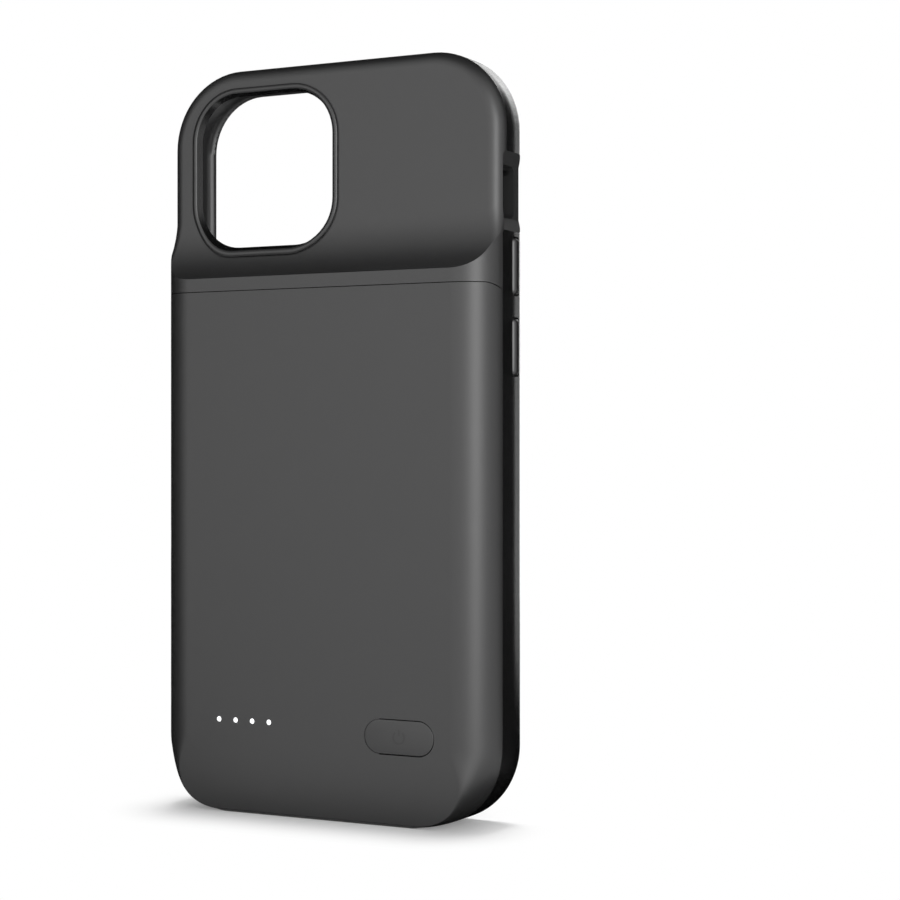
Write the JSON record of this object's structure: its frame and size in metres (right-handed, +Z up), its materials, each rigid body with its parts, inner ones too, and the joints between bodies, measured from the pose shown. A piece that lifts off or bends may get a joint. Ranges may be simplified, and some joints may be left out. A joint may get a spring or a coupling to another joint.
{
  "type": "battery charging case",
  "caption": "Clip-on phone case with a built-in battery: soft frame, camera window, raised battery back with status lights and button, keys, charging socket and inner plug.",
  "frame": {"origin": "middle of the bounding box on the lower end that the case stands on", "axes": "+Z up along the case's height; the battery back faces -Y and the phone pocket opens to +Y; +X is the side with the volume keys"},
  "size_m": [0.0714, 0.015, 0.1398],
  "materials": {
    "soft_frame": "satin soft touch",
    "hard_cover": "satin soft touch",
    "key_plastic": "satin",
    "clear_light": "clear, lit white",
    "tray_plastic": "fine spark texture",
    "cell_foil": "laminated foil",
    "foam": "closed cells",
    "board_green": "solder mask",
    "chip_black": "moulded",
    "ferrite": "pressed",
    "ceramic": "fired",
    "nickel": "plated",
    "gold": "plated",
    "socket_plastic": "moulded",
    "amber_film": "film",
    "lamp": "clear cap"
  },
  "bodies": {
    "case": {"bumper_frame": "soft_frame", "back_cover": "hard_cover", "light_pipe": "clear_light", "inner_tray": "tray_plastic", "battery_cell": "cell_foil", "cell_foam_pad": "foam", "protection_board": "board_green", "cell_tab_positive": "nickel", "cell_tab_negative": "nickel", "main_board": "board_green", "charge_port_shell": "nickel", "charge_port_tongue": "socket_plastic", "plug_base": "socket_plastic", "phone_plug": "nickel", "plug_contacts": "gold", "plug_ribbon": "amber_film", "indicator_leds": "lamp", "switch_body": "nickel", "charge_controller": "chip_black", "boost_converter": "chip_black", "power_inductor": "ferrite", "ceramic_capacitors": "ceramic", "board_screws": "nickel"},
    "status_button": {"status_button": "hard_cover", "switch_plunger": "socket_plastic"},
    "volume_up_key": {"volume_up_key": "key_plastic"},
    "volume_down_key": {"volume_down_key": "key_plastic"},
    "side_key": {"side_key": "key_plastic"}
  },
  "joints": [
    {"name": "status_button_press", "type": "slide", "parent": "case", "child": "status_button", "axis": [0, 1, 0], "range_m": [0, 0.00035], "stiffness_N_per_m": 2000},
    {"name": "volume_up_press", "type": "slide", "parent": "case", "child": "volume_up_key", "axis": [-1, 0, 0], "range_m": [0, 0.0004], "stiffness_N_per_m": 2000},
    {"name": "volume_down_press", "type": "slide", "parent": "case", "child": "volume_down_key", "axis": [-1, 0, 0], "range_m": [0, 0.0004], "stiffness_N_per_m": 2000},
    {"name": "side_key_press", "type": "slide", "parent": "case", "child": "side_key", "axis": [1, 0, 0], "range_m": [0, 0.0004], "stiffness_N_per_m": 2000}
  ]
}
